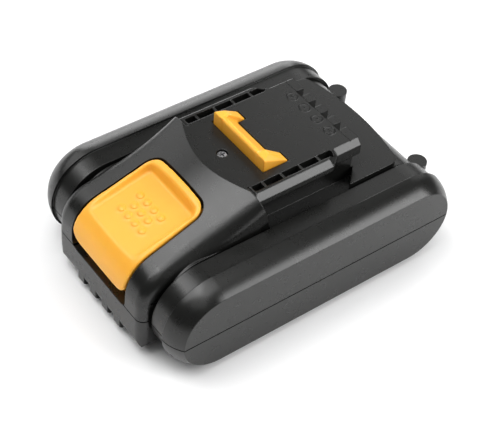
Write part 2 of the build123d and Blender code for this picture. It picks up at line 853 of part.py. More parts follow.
def upper_housing(outer, inner):
    reach = body_width
    above = block(-reach, reach, -reach, reach, parting_height, plateau_height + cut_overrun * 2)
    body = (outer & above) - inner
    body += (housing_bosses(parting_height, front_boss_top) & outer)
    body += lugs(parting_height, lug_top) - inner
    body += z_cylinder(top_boss_radius, 0, top_screw_y, top_boss_bottom, plateau_height - plateau_wall)
    body -= button_opening()
    body -= latch_opening()
    body -= pockets()
    body -= terminal_slots()
    body -= terminal_marks()
    body -= score_line()
    head_room = top_screw_head_radius + touch_gap * 2
    seat = plateau_height - top_screw_sink - top_screw_head_height
    body -= z_cylinder(head_room, 0, top_screw_y, seat, plateau_height + cut_overrun)
    body -= z_cylinder(top_screw_radius + touch_gap, 0, top_screw_y, top_boss_bottom - cut_overrun, seat)
    return body - screw_holes()


def housing_screws():
    group = None
    for x, y in ((lug_x, lug_y), (front_boss_x, front_boss_y)):
        screw = z_cylinder(screw_head_radius, x, y, screw_seat_height - screw_head_height, screw_seat_height)
        screw += z_cylinder(screw_radius, x, y, screw_seat_height, screw_tip)
        socket_top = screw_seat_height - screw_head_height + screw_socket_depth
        socket = Pos(x, y, socket_top) * extrude(RegularPolygon(screw_socket_radius, 6), amount=-cut_overrun)
        screw -= socket
        group = screw if group is None else group + screw
    return both_sides(group)


def plateau_screw():
    top = plateau_height - top_screw_sink
    screw = z_cylinder(top_screw_head_radius, 0, top_screw_y, top - top_screw_head_height, top)
    screw += z_cylinder(top_screw_radius, 0, top_screw_y, top_screw_tip, top - top_screw_head_height)
    arm = top_screw_head_radius * 2 / 3
    half = cross_slot_width / 2
    low = top - cross_slot_depth
    screw -= block(-arm, arm, top_screw_y - half, top_screw_y + half, low, top + cut_overrun)
    screw -= block(-half, half, top_screw_y - arm, top_screw_y + arm, low, top + cut_overrun)
    return screw


# Cells and what joins them
def cell_y(index):
    return (index - (cell_count - 1) / 2) * cell_pitch


def cell_side(index):
    """+1 where the cell's positive end is on the right."""
    return 1 if index % 2 == 0 else -1


def cell(index):
    y = cell_y(index)
    can = x_cylinder(cell_radius, -cell_half_length, cell_half_length - cell_button_height, y, cell_height)
    crimp_end = cell_half_length - cell_button_height
    groove = x_cylinder(cell_radius, crimp_end - cell_crimp_height, crimp_end, y, cell_height)
    groove -= x_cylinder(cell_crimp_radius, crimp_end - cell_crimp_height, crimp_end, y, cell_height)
    can -= groove
    can += x_cylinder(cell_button_radius, crimp_end - cell_crimp_height, cell_half_length, y, cell_height)
    return can if cell_side(index) > 0 else mirrored(can)


def cell_sleeve(index):
    y = cell_y(index)
    end = cell_half_length - cell_button_height - cell_crimp_height
    sleeve = x_cylinder(sleeve_radius, -end, end, y, cell_height)
    return sleeve - x_cylinder(cell_radius, -end, end, y, cell_height)


def cell_holder(side):
    body = x_capsule(holder_rim, holder_inner, holder_outer, -cell_rear_y, cell_rear_y, cell_height)
    reach = cell_rear_y + holder_rim
    body = body & block(holder_inner, holder_outer, -reach, reach, holder_bottom, holder_top)
    for index in range(cell_count):
        body -= x_cylinder(bore_radius, holder_inner - cut_overrun, holder_outer + cut_overrun,
                           cell_y(index), cell_height)
    return body if side > 0 else mirrored(body)


def nickel_strip(side, first, last):
    """A strip across the cell ends, with a tab up and over to the board's edge."""
    x0 = cell_half_length + touch_gap
    x1 = x0 + strip_thickness
    half = strip_width / 2
    body = block(x0, x1, cell_y(first) - half, cell_y(last) + half, cell_height - half, cell_height + half)
    tab_y = (cell_y(first) + cell_y(last)) / 2
    limit = board_rear - strip_tab_width
    tab_y = max(board_front + strip_tab_width, min(limit, tab_y))
    half_tab = strip_tab_width / 2
    tab_top = board_top + strip_thickness
    low = cell_height + half
    leg_y = max(cell_y(first) - half + half_tab, min(cell_y(last) + half - half_tab, tab_y))
    body += block(x0, x1, leg_y - half_tab, leg_y + half_tab, cell_height, tab_top)
    body += block(x0, x1, min(leg_y, tab_y) - half_tab, max(leg_y, tab_y) + half_tab, tab_top - strip_tab_width, tab_top)
    body += block(board_half_width - strip_tab_width / 2, x1, tab_y - half_tab, tab_y + half_tab, board_top, tab_top)
    return body if side > 0 else mirrored(body)


def insulator_sheet(side):
    x0 = cell_half_length + touch_gap + strip_thickness + pad_gap
    sheet = x_capsule(insulator_radius, x0, x0 + insulator_thickness, -cell_rear_y, cell_rear_y, cell_height)
    return sheet if side > 0 else mirrored(sheet)


def side_pad(side):
    """Soft pad between the insulated strips and the pod's flat wall."""
    x0 = cell_half_length + touch_gap + strip_thickness + pad_gap + insulator_thickness + touch_gap
    x1 = body_half_width - shell_wall - slip_gap
    pad = x_capsule(pad_radius, x0, x1, -cell_rear_y, cell_rear_y, cell_height)
    return pad if side > 0 else mirrored(pad)


# Board and terminals
def board_tray():
    low = tray_bottom
    high = tray_top
    tray = block(-tray_half_width, tray_half_width, tray_front, tray_rear, low, high)
    tray += both_sides(z_cylinder(spring_post_radius, spring_x, spring_y, high, high + spring_post_height))
    for x in (-tray_post_x, tray_post_x):
        for y in (tray_post_front, tray_post_rear):
            tray += z_cylinder(tray_post_radius, x, y, high, board_height)
    tray += z_cylinder(tray_column_radius, 0, top_screw_y, high, top_boss_bottom)
    tray -= z_cylinder(top_screw_radius + touch_gap, 0, top_screw_y, top_screw_tip - touch_gap, top_boss_bottom)
    tray -= block(thermistor_x - thermistor_length, thermistor_x + thermistor_length,
                  -thermistor_radius * 2, thermistor_radius * 2, low - cut_overrun, high + cut_overrun)
    return tray


def circuit_board():
    board = block(-board_half_width, board_half_width, board_front, board_rear, board_height, board_top)
    board -= z_cylinder(tray_column_radius + slip_gap, 0, top_screw_y, board_height - cut_overrun,
                        board_top + cut_overrun)
    return board


def terminal_block():
    body = block(-terminal_half_width, terminal_half_width, terminal_front, terminal_rear, board_top, terminal_top)
    for x in slot_centres:
        half = terminal_slot_width / 2
        body -= block(x - half, x + half, terminal_slot_front, terminal_rear + cut_overrun,
                      board_top - cut_overrun, terminal_top - shell_wall / 2)
    return body


def contact(x):
    """A fork of two sprung leaves that grips the tool's blade."""
    inner = contact_leaf_gap / 2
    outer = inner + contact_leaf_thickness
    top = contact_top
    leaves = block(-outer, outer, contact_front, contact_rear, board_top, top)
    leaves -= block(-inner, inner, contact_web_front, contact_rear + cut_overrun,
                    board_top - cut_overrun, top + cut_overrun)
    return Pos(x, 0, 0) * leaves


def on_board(size, place):
    x, y = place
    return Pos(x, y, board_top + size[2] / 2) * Box(*size)


def repeated(size, place, count, pitch):
    group = None
    for index in range(count):
        x = place[0] + (index - (count - 1) / 2) * pitch
        piece = on_board(size, (x, place[1]))
        group = piece if group is None else group + piece
    return group


def thermistor():
    """Bead on the middle cell with two leads up to the board."""
    z = cell_height + sleeve_radius + thermistor_radius + touch_gap
    body = x_cylinder(thermistor_radius, thermistor_x - thermistor_length / 2,
                      thermistor_x + thermistor_length / 2, 0, z)
    for offset in (-thermistor_radius, thermistor_radius):
        body += z_cylinder(thermistor_lead_radius, thermistor_x + offset, 0, z, board_height - touch_gap)
    return body


os.makedirs("parts", exist_ok=True)


def save(name, shape):
    solids = shape.solids()
    result = Compound(children=list(solids)) if len(solids) > 1 else solids[0]
    export_step(result, os.path.join("parts", name + ".step"))
    print(name, len(solids))


outer = outer_shape()
inner = cavity()
save("lower_housing", lower_housing(outer, inner))
save("upper_housing", upper_housing(outer, inner))
save("housing_screws", housing_screws())
save("plateau_screw", plateau_screw())
save("release_latch", release_latch())
print_spring_gap()
for side, name in ((-1, "left"), (1, "right")):
    save("release_spring_" + name, release_spring(side))
    save("cell_holder_" + name, cell_holder(side))
    save("insulator_sheet_" + name, insulator_sheet(side))
    save("side_pad_" + name, side_pad(side))
for index in range(cell_count):
    save("cell_" + str(index + 1), cell(index))
    save("cell_sleeve_" + str(index + 1), cell_sleeve(index))
strips = (
    ("strip_negative", -1, 0, 0), ("strip_1_2", 1, 0, 1), ("strip_2_3", -1, 1, 2),
    ("strip_3_4", 1, 2, 3), ("strip_4_5", -1, 3, 4), ("strip_positive", 1, 4, 4),
)
for name, side, first, last in strips:
    save(name, nickel_strip(side, first, last))
save("board_tray", board_tray())
save("circuit_board", circuit_board())
save("terminal_block", terminal_block())
contact_names = ("contact_positive", "contact_signal_1", "contact_signal_2", "contact_negative")
for name, x in zip(contact_names, slot_centres):
    save(name, contact(x))
save("power_transistors", repeated(mosfet_size, (0, mosfet_y), mosfet_count, mosfet_pitch))
save("controller_chip", on_board(chip_size, chip_place))
save("current_shunt", on_board(shunt_size, shunt_place))
save("capacitors", repeated(capacitor_size, capacitor_place, capacitor_count, capacitor_pitch))
save("board_fuse", on_board(fuse_size, fuse_place))
save("sense_connector", on_board(connector_size, connector_place))
save("thermistor", thermistor())
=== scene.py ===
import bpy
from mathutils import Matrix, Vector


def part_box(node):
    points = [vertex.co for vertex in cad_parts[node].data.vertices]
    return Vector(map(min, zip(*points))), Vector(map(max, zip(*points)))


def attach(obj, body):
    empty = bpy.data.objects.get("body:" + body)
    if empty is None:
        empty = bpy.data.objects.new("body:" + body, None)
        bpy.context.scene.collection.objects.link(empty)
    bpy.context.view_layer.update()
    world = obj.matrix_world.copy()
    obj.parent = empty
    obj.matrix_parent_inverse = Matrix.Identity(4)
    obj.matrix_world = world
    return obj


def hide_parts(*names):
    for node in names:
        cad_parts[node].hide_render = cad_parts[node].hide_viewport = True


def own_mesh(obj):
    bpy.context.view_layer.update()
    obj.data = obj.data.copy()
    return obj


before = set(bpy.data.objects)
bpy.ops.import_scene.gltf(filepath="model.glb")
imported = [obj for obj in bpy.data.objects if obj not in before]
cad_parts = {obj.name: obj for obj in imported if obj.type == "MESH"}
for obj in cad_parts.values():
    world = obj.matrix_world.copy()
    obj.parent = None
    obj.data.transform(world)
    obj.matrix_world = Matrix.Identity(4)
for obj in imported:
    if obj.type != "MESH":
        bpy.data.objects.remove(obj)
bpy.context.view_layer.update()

from math import cos, pi, radians, sin

import bmesh
import bpy
import numpy as np
from mathutils import Matrix, Vector

bl_info = {
    "name": "Slide-On Battery Pack",
    "version": (1, 0, 0),
    "blender": (4, 5, 0),
    "location": "View3D > Sidebar > Battery Pack",
    "description": "Finishes, latch, grip dots, screws and springs of a slide-on battery pack",
    "category": "Object",
}

MM = 0.001

# CAD nodes that come in rows
CELLS = [f"cell_{number}" for number in range(1, 6)]
SLEEVES = [f"cell_sleeve_{number}" for number in range(1, 6)]
STRIPS = ["strip_negative", "strip_1_2", "strip_2_3", "strip_3_4", "strip_4_5", "strip_positive"]
CONTACTS = ["contact_positive", "contact_signal_1", "contact_signal_2", "contact_negative"]

# Places and sizes that follow from the solids
PART_LINE = 17.0 * MM  # height where the two halves of the housing meet
BUTTON_EDGE = -24 * MM  # Y where the hook bar ends and the button begins, towards -Y
BUTTON_BLEND = 4 * MM  # length over which the hook bar's rounding becomes the button's
LEAST_LATCH_POINTS = 1000
FRONT_SCREW_X = 19.9 * MM
PLATE_SCREW_HEAD = 1.4 * MM
PLATE_SCREW_SHANK = 1.1 * MM
THREAD_PITCH = 0.9 * MM

# Joining of points, and the angles past which an edge stays sharp
WELD_DISTANCE = 0.0005 * MM  # points nearer than this become one
SCREW_EDGE_ANGLE = radians(32)
WIRE_EDGE_ANGLE = radians(50)

# Entries and output of a Mix node that mixes colours
MIX_FIRST, MIX_SECOND, MIX_RESULT = 6, 7, 2

# Each light's name, its direction from the pack and the setting that holds its power
LIGHTS = (
    ("front_light", (-0.26, -0.39, 0.88), "front_power"),
    ("rear_light", (0.65, 0.54, 0.53), "rear_power"),
    ("side_light", (-0.80, -0.29, 0.53), "side_power"),
    ("back_light", (-0.42, 0.73, 0.53), "back_power"),
    ("near_light", (0.29, -0.37, 0.88), "near_power"),
    ("horizon_light", (-0.90, 0.42, 0.12), "horizon_power"),
    ("top_light", (0.02, 0, 1), "top_power"),
)
LIGHT_DISTANCE = 0.75
LIGHT_SIZE = 0.50
FLOOR_REACH = 3.0
EXPOSURE = 0.35

# The camera, fitted to the photograph's edges: its angles, and its place from the target
CAMERA_TURN, CAMERA_TILT, CAMERA_ROLL = radians(49.855), radians(45.787), radians(5.441)
CAMERA_TARGET = Vector((0, -2.5, 24.0)) * MM
CAMERA_RIGHT, CAMERA_UP, CAMERA_BACK = 2.021 * MM, -7.471 * MM, 428.518 * MM
SENSOR_WIDTH = 36


# Sizes and colours
class HousingFinish(bpy.types.PropertyGroup):
    colour: bpy.props.FloatVectorProperty(
        name="Colour", description="Colour of the housing plastic",
        subtype="COLOR", size=3, min=0, max=1, default=(0.0135, 0.0137, 0.0127))
    roughness: bpy.props.FloatProperty(
        name="Roughness", description="Roughness of the fine moulded texture",
        subtype="FACTOR", min=0, max=1, default=0.28)
    grain: bpy.props.FloatProperty(
        name="Grain", description="Width of one grain of the spark-eroded texture",
        subtype="DISTANCE", unit="LENGTH", default=0.22 * MM)
    grain_depth: bpy.props.FloatProperty(
        name="Grain depth", description="Depth of the texture",
        subtype="DISTANCE", unit="LENGTH", default=0.006 * MM)
    edge_radius: bpy.props.FloatProperty(
        name="Edge radius", description="Radius that the mould leaves on every edge",
        subtype="DISTANCE", unit="LENGTH", default=0.45 * MM)
    seam_width: bpy.props.FloatProperty(
        name="Seam width", description="Width of the groove between the two halves",
        subtype="DISTANCE", unit="LENGTH", default=0.50 * MM)


class LatchFinish(bpy.types.PropertyGroup):
    colour: bpy.props.FloatVectorProperty(
        name="Colour", description="Colour of the button and hook bar",
        subtype="COLOR", size=3, min=0, max=1, default=(0.90, 0.455, 0.060))
    roughness: bpy.props.FloatProperty(
        name="Roughness", description="Roughness of the satin moulding",
        subtype="FACTOR", min=0, max=1, default=0.38)
    voxel: bpy.props.FloatProperty(
        name="Mesh size", description="Size of the faces of the softened moulding",
        subtype="DISTANCE", unit="LENGTH", default=0.30 * MM)
    button_passes: bpy.props.IntProperty(
        name="Button rounding", description="How many times the button's edges are softened",
        min=0, default=22)
    hook_passes: bpy.props.IntProperty(
        name="Hook rounding", description="How many times the hook bar's edges are softened",
        min=0, default=3)


class GripDots(bpy.types.PropertyGroup):
    radius: bpy.props.FloatProperty(
        name="Radius", description="Radius of one dot",
        subtype="DISTANCE", unit="LENGTH", default=1.38 * MM)
    height: bpy.props.FloatProperty(
        name="Height", description="Height of one dot above the dish",
        subtype="DISTANCE", unit="LENGTH", default=0.66 * MM)
    pitch_across: bpy.props.FloatProperty(
        name="Pitch across", description="Distance between dots in a row",
        subtype="DISTANCE", unit="LENGTH", default=3.93 * MM)
    pitch_along: bpy.props.FloatProperty(
        name="Pitch along", description="Distance between rows",
        subtype="DISTANCE", unit="LENGTH", default=3.53 * MM)
    long_row: bpy.props.IntProperty(
        name="Long row", description="Dots in the first and third row", min=2, default=4)
    first_row: bpy.props.FloatVectorProperty(
        name="First row", description="Middle of the row nearest the terminals, on the dish",
        subtype="TRANSLATION", unit="LENGTH", size=3, default=(0, -40.0 * MM, 36.805 * MM))
    slope: bpy.props.FloatProperty(
        name="Slope", description="Slope of the dish",
        subtype="ANGLE", unit="ROTATION", default=radians(14.3))


class ScrewSizes(bpy.types.PropertyGroup):
    head_radius: bpy.props.FloatProperty(
        name="Head radius", description="Radius of a housing screw's head",
        subtype="DISTANCE", unit="LENGTH", default=2.6 * MM)
    head_height: bpy.props.FloatProperty(
        name="Head height", description="Height of a housing screw's head",
        subtype="DISTANCE", unit="LENGTH", default=2.2 * MM)
    shank_radius: bpy.props.FloatProperty(
        name="Shank radius", description="Radius of a housing screw's shank",
        subtype="DISTANCE", unit="LENGTH", default=1.4 * MM)
    seat: bpy.props.FloatProperty(
        name="Seat height", description="Height of the face that the heads press on",
        subtype="DISTANCE", unit="LENGTH", default=11.0 * MM)
    tip: bpy.props.FloatProperty(
        name="Tip height", description="Height of the screws' tips",
        subtype="DISTANCE", unit="LENGTH", default=24.0 * MM)


class SpringSizes(bpy.types.PropertyGroup):
    wire_radius: bpy.props.FloatProperty(
        name="Wire radius", description="Radius of the springs' wire",
        subtype="DISTANCE", unit="LENGTH", default=0.35 * MM)
    turns: bpy.props.IntProperty(
        name="Turns", description="Turns of each spring", min=1, default=5)
    seat: bpy.props.FloatProperty(
        name="Seat height", description="Height of the tray that the springs stand on",
        subtype="DISTANCE", unit="LENGTH", default=25.15 * MM)
    keep: bpy.props.FloatProperty(
        name="Pressed height",
        description="Share of a spring's height that is left when the button is down",
        subtype="FACTOR", min=0.1, max=1, default=0.493)


class StageSettings(bpy.types.PropertyGroup):
    floor_colour: bpy.props.FloatVectorProperty(
        name="Floor colour", description="Colour of the plain floor",
        subtype="COLOR", size=3, min=0, max=1, default=(0.93, 0.93, 0.93))
    sky: bpy.props.FloatProperty(
        name="Sky", description="Strength of the even light from all round", min=0, default=0.06)
    front_power: bpy.props.FloatProperty(
        name="Front light", description="Power of the high soft light at the left front",
        unit="POWER", min=0, default=1.95)
    rear_power: bpy.props.FloatProperty(
        name="Rear light", description="Power of the soft light behind at the right",
        unit="POWER", min=0, default=2.9)
    side_power: bpy.props.FloatProperty(
        name="Side light", description="Power of the low soft light at the left",
        unit="POWER", min=0, default=0.75)
    back_power: bpy.props.FloatProperty(
        name="Back light", description="Power of the low soft light behind at the left",
        unit="POWER", min=0, default=0.5)
    near_power: bpy.props.FloatProperty(
        name="Near light", description="Power of the soft light on the camera's side",
        unit="POWER", min=0, default=0.5)
    horizon_power: bpy.props.FloatProperty(
        name="Horizon light",
        description="Power of the light low at the left, which the round edges catch",
        unit="POWER", min=0, default=1.3)
    top_power: bpy.props.FloatProperty(
        name="Top light", description="Power of the soft light overhead",
        unit="POWER", min=0, default=1.25)
    focal_length: bpy.props.FloatProperty(
        name="Focal length", description="Focal length of the camera on a 36 mm sensor",
        default=91.846)


def settings(name):
    """The scene's group of settings with this name."""
    return getattr(bpy.context.scene, name)


# Helpers for node trees
def give(tree, entry, value):
    """Links value to the entry if it is a socket, and otherwise sets it there."""
    if isinstance(value, bpy.types.NodeSocket):
        tree.links.new(value, entry)
    else:
        entry.default_value = value


def feed(tree, node, **values):
    """Gives the node its values. A key with a small first letter is one of its own settings, and
    any other is an input's name, with _ for a space."""
    for key, value in values.items():
        if key[0].islower():
            setattr(node, key, value)
        else:
            give(tree, node.inputs[key.replace("_", " ")], value)
    return node


def add(tree, kind, **values):
    """A new node, with its values given as for feed."""
    return feed(tree, tree.nodes.new(kind), **values)


def maths(tree, operation, first, second=None, kind="ShaderNodeMath", output="Value"):
    """The result of a maths node on one or two numbers or sockets."""
    made = add(tree, kind, operation=operation)
    give(tree, made.inputs[0], first)
    if second is not None:
        give(tree, made.inputs[1], second)
    return made.outputs[output]


def vector_maths(tree, operation, first, second, output="Vector"):
    """The result of a maths node on two vectors or sockets."""
    return maths(tree, operation, first, second, "ShaderNodeVectorMath", output)


def vector(tree, **parts):
    """A vector from the sockets given as X, Y and Z. A part that isn't given is 0."""
    return add(tree, "ShaderNodeCombineXYZ", **parts).outputs[0]


def scaled(tree, value, found, wanted=(0, 1)):
    """The value with the range found turned into the range wanted, and held inside it."""
    return add(tree, "ShaderNodeMapRange", clamp=True, Value=value, From_Min=found[0],
               From_Max=found[1], To_Min=wanted[0], To_Max=wanted[1]).outputs["Result"]


def varied(tree, middle, marks, swing):
    """A number round middle that goes up and down by half of swing with the marks."""
    shift = maths(tree, "MULTIPLY", maths(tree, "SUBTRACT", marks, 0.5), swing)
    return maths(tree, "ADD", middle, shift)


def place(tree):
    """Object coordinates, which are the pack's own."""
    return tree.nodes.new("ShaderNodeTexCoord").outputs["Object"]


def stretched(tree, scale):
    """Object coordinates times scale, so that marks are short where it is large."""
    return add(tree, "ShaderNodeMapping", Vector=place(tree), Scale=scale).outputs["Vector"]


def noise(tree, where, scale, detail=2.0, roughness=0.5):
    """Soft noise from 0 to 1 with about scale lumps to the metre."""
    return add(tree, "ShaderNodeTexNoise", Vector=where, Scale=scale, Detail=detail,
               Roughness=roughness).outputs["Fac"]


def mixed(tree, factor, first, second):
    """first where factor is 0 and second where it is 1. Both are sockets or colours."""
    made = add(tree, "ShaderNodeMix", data_type="RGBA")
    give(tree, made.inputs[0], factor)
    for index, value in ((MIX_FIRST, first), (MIX_SECOND, second)):
        if not isinstance(value, bpy.types.NodeSocket):
            value = [*value, 1]
        give(tree, made.inputs[index], value)
    return made.outputs[MIX_RESULT]


def tinted(tree, colour, amount, factor):
    """The colour, made darker by amount where factor is 0 and lighter where it is 1."""
    return mixed(tree, factor, [max(0.0, c * (1 - amount)) for c in colour],
                 [min(1.0, c * (1 + amount)) for c in colour])


def bumped(tree, height, distance, normal=None):
    """The normal of a surface that height, from 0 to 1, raises by distance."""
    made = add(tree, "ShaderNodeBump", Strength=1.0, Distance=distance, Height=height)
    if normal is not None:
        tree.links.new(normal, made.inputs["Normal"])
    return made.outputs["Normal"]


def rounded_edges(tree, radius):
    """The normal of a surface whose edges are rounded."""
    return add(tree, "ShaderNodeBevel", samples=6, Radius=radius).outputs["Normal"]


def edge_wear_and_highlight(tree, rounded, where, scale):
    """1 on edges, which are lightened partly as wear and partly as a painted highlight of their
    rounding, and 0 on faces. An edge is where the rounded normal leaves the face's own, and noise
    breaks it up."""
    flat = tree.nodes.new("ShaderNodeNewGeometry").outputs["Normal"]
    likeness = vector_maths(tree, "DOT_PRODUCT", rounded, flat, "Value")
    patches = scaled(tree, noise(tree, where, scale, detail=3.0), (0.42, 0.62))
    return maths(tree, "MULTIPLY", scaled(tree, likeness, (0.99, 0.86)), patches)


def new_material(name, **values):
    """A material with one shader, and the values that are the same all over set on it."""
    material = bpy.data.materials.new(name)
    material.use_nodes = True
    tree = material.node_tree
    tree.nodes.clear()
    shader = add(tree, "ShaderNodeBsdfPrincipled", **values)
    add(tree, "ShaderNodeOutputMaterial", Surface=shader.outputs["BSDF"])
    return material, tree, shader


def dress(nodes, material):
    """Puts the material on CAD nodes that keep their shape."""
    for node in nodes:
        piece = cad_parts[node]
        piece.data.materials.clear()
        piece.data.materials.append(material)


# Finishes
def housing_plastic():
    """Dark spark-eroded plastic with rounded edges, faint scuffs, edges lightened as wear and as a
    painted highlight, and painted shade in the groove between halves.
    """
    finish = settings("housing_finish")
    material, tree, shader = new_material("housing_plastic_moulded", IOR=1.58)
    where = place(tree)
    rounded = rounded_edges(tree, finish.edge_radius)
    grains = noise(tree, where, scale=1 / finish.grain, roughness=0.6)
    clouds = noise(tree, where, scale=45, detail=3.0)
    scuffs = noise(tree, where, scale=260, detail=5.0, roughness=0.7)
    height = add(tree, "ShaderNodeSeparateXYZ", Vector=where).outputs["Z"]
    away = maths(tree, "ABSOLUTE", maths(tree, "SUBTRACT", height, PART_LINE))
    # Narrow band at the parting line, used for the bump groove and for painted shade in it
    seam_groove_and_shade = scaled(tree, away, (finish.seam_width * 0.2, finish.seam_width / 2), (1, 0))
    # Mask of the edges that are lightened partly as wear and partly as a painted highlight
    worn_and_highlit = edge_wear_and_highlight(tree, rounded, where, scale=900)

    pale_grain = [c * 1.7 for c in finish.colour]
    # Pale colour for the edges: part wear, part painted highlight of the rounding
    pale_edge_and_highlight = [c * 3.2 for c in finish.colour]
    # Black colour for the painted shade in the parting seam
    painted_seam_shade = (0.002, 0.002, 0.002)
    base = tinted(tree, finish.colour, 0.05, clouds)
    speckled = mixed(tree, scaled(tree, grains, (0.35, 0.75), (0, 0.3)), base, pale_grain)
    scuffed_and_highlit = mixed(tree, maths(tree, "MULTIPLY", worn_and_highlit, 0.15), speckled, pale_edge_and_highlight)
    shaded = mixed(tree, seam_groove_and_shade, scuffed_and_highlit, painted_seam_shade)
    rough = varied(tree, finish.roughness, scuffs, 0.07)
    groove = bumped(tree, maths(tree, "MULTIPLY", seam_groove_and_shade, -1.0), finish.seam_width, rounded)
    # The seam is painted shade: black metal, because a plastic's gloss would hide the dark line
    feed(tree, shader, Base_Color=shaded, Metallic=seam_groove_and_shade,
         Roughness=maths(tree, "ADD", rough, maths(tree, "MULTIPLY", seam_groove_and_shade, 0.6)),
         Normal=bumped(tree, grains, finish.grain_depth, groove))
    return material


def latch_plastic():
    """Warm yellow satin plastic, a little translucent, with faint flow marks."""
    finish = settings("latch_finish")
    material, tree, shader = new_material(
        "latch_plastic_satin", IOR=1.49, Subsurface_Weight=0.18,
        Subsurface_Radius=(1.0, 0.45, 0.08), Subsurface_Scale=1.2 * MM)
    where = place(tree)
    flow = noise(tree, where, scale=60, detail=3.0)
    fine = noise(tree, where, scale=3800, roughness=0.6)
    feed(tree, shader, Base_Color=tinted(tree, finish.colour, 0.05, flow),
         Roughness=varied(tree, finish.roughness, fine, 0.10),
         Normal=bumped(tree, fine, 0.006 * MM))
    return material


def metal(name, colour, roughness, stretch=(1, 1, 1), scale=900):
    """Metal with fine marks, which are short along the axes where stretch is large."""
    material, tree, shader = new_material(name, Metallic=1.0)
    marks = noise(tree, stretched(tree, stretch), scale, detail=4.0, roughness=0.6)
    feed(tree, shader, Base_Color=tinted(tree, colour, 0.12, marks),
         Roughness=scaled(tree, marks, (0.3, 0.7), (roughness - 0.08, roughness + 0.1)),
         Normal=bumped(tree, marks, 0.01 * MM))
    return material


def plain_plastic(name, colour, roughness, grain=0.3 * MM):
    """Moulded plastic with a fine grain, broad clouds and softened edges."""
    material, tree, shader = new_material(name)
    where = place(tree)
    fine = noise(tree, where, scale=1 / grain)
    broad = noise(tree, where, scale=120, detail=3.0)
    feed(tree, shader, Base_Color=tinted(tree, colour, 0.10, broad),
         Roughness=scaled(tree, broad, (0.3, 0.7), (roughness - 0.05, roughness + 0.05)),
         Normal=bumped(tree, fine, 0.01 * MM, rounded_edges(tree, 0.2 * MM)))
    return material


def shrink_film():
    """Blue shrink film with wrinkles that run round the cell."""
    material, tree, shader = new_material("cell_shrink_film", Roughness=0.28, Coat_Weight=0.4)
    wrinkles = noise(tree, stretched(tree, (6.0, 1.0, 1.0)), scale=140, detail=4.0, roughness=0.55)
    feed(tree, shader, Base_Color=tinted(tree, (0.02, 0.12, 0.26), 0.15, wrinkles),
         Normal=bumped(tree, wrinkles, 0.05 * MM))
    return material


def fibre_sheet():
    """Pressed fibre sheet: short pale fibres in all directions."""
    material, tree, shader = new_material("insulator_pressed_fibre", Roughness=0.85)
    where = place(tree)
    cells = add(tree, "ShaderNodeTexVoronoi", feature="DISTANCE_TO_EDGE", Vector=where, Scale=1400)
    fibres = maths(tree, "ADD", scaled(tree, cells.outputs["Distance"], (0, 0.2), (0, 0.5)),
                   maths(tree, "MULTIPLY", noise(tree, where, scale=900, detail=4.0), 0.5))
    feed(tree, shader, Base_Color=tinted(tree, (0.42, 0.46, 0.30), 0.18, fibres),
         Normal=bumped(tree, fibres, 0.05 * MM))
    return material


def foam():
    """Closed-cell foam: small dark bubbles."""
    material, tree, shader = new_material("pad_closed_cell_foam", Roughness=0.9)
    cells = add(tree, "ShaderNodeTexVoronoi", Vector=place(tree), Scale=2200)
    bubbles = cells.outputs["Distance"]
    feed(tree, shader, Base_Color=tinted(tree, (0.03, 0.03, 0.03), 0.4, bubbles),
         Normal=bumped(tree, bubbles, 0.15 * MM))
    return material


def solder_mask():
    """Green board with copper tracks under the mask."""
    material, tree, shader = new_material("board_solder_mask", Roughness=0.3, Coat_Weight=0.3)
    bricks = add(tree, "ShaderNodeTexBrick", Vector=place(tree), Scale=320, Mortar_Size=0.06,
                 Color1=(1, 1, 1, 1), Color2=(0.6, 0.6, 0.6, 1), Mortar=(0, 0, 0, 1))
    tracks = scaled(tree, bricks.outputs["Color"], (0.2, 0.9))
    feed(tree, shader, Base_Color=mixed(tree, tracks, (0.006, 0.075, 0.03), (0.015, 0.13, 0.05)),
         Normal=bumped(tree, tracks, 0.03 * MM))
    return material


def ceramic():
    """Fired ceramic with fine speckles."""
    material, tree, shader = new_material("capacitor_ceramic", Roughness=0.45)
    fine = noise(tree, place(tree), scale=2500, detail=3.0)
    feed(tree, shader, Base_Color=tinted(tree, (0.32, 0.22, 0.12), 0.15, fine),
         Normal=bumped(tree, fine, 0.01 * MM))
    return material


# Meshes
def link(name, data):
    """A new object in the scene."""
    piece = bpy.data.objects.new(name, data)
    bpy.context.scene.collection.objects.link(piece)
    return piece


def evaluated(piece):
    """The shape of a working object with its modifiers, as a new mesh. The object is removed."""
    bpy.context.view_layer.update()
    graph = bpy.context.evaluated_depsgraph_get()
    mesh = bpy.data.meshes.new_from_object(piece.evaluated_get(graph), depsgraph=graph)
    bpy.data.objects.remove(piece)
    return mesh


def finished(name, piece, body):
    """The shape of a working object as a plain piece that rides on body."""
    mesh = evaluated(piece)
    if not mesh.polygons:
        raise RuntimeError(f"{name} came out empty")
    mesh.name = name
    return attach(link(name, mesh), body)


def welded(mesh):
    """Joins doubled points and turns the faces outwards."""
    sheet = bmesh.new()
    sheet.from_mesh(mesh)
    bmesh.ops.remove_doubles(sheet, verts=sheet.verts, dist=WELD_DISTANCE)
    bmesh.ops.recalc_face_normals(sheet, faces=sheet.faces)
    sheet.to_mesh(mesh)
    sheet.free()
    return mesh


def trimmed(mesh, angle):
    """Welds the mesh and smooths it, apart from edges that are sharper than angle."""
    welded(mesh).shade_smooth()
    mesh.set_sharp_from_angle(angle=angle)


def button_share(points):
    """1 on the button and 0 on the hook bar, with a soft change between them."""
    return np.clip((BUTTON_EDGE - points[:, 1]) / BUTTON_BLEND, 0, 1)


